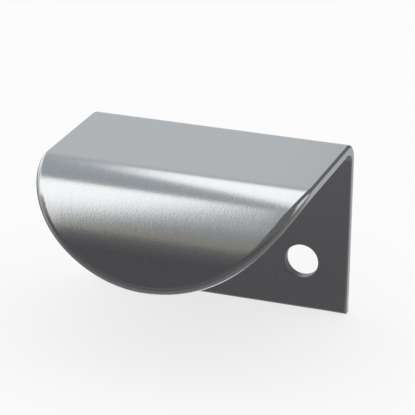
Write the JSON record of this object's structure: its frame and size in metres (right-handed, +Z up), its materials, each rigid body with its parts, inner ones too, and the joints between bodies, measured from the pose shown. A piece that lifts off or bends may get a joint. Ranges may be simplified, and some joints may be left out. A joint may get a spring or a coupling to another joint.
{
  "type": "profile pull",
  "caption": "Folded sheet metal pull: flat screw-on flange, flat top plate and half-moon lip curling down in front.",
  "frame": {"origin": "midway between the two screw holes, on the back face of the flange that meets the door", "axes": "+X along the pull's width, -Y away from the door towards the user, +Z up"},
  "size_m": [0.05, 0.0424, 0.0342],
  "materials": {
    "satin_metal": "satin"
  },
  "bodies": {
    "root": {"pull": "satin_metal"}
  },
  "joints": []
}
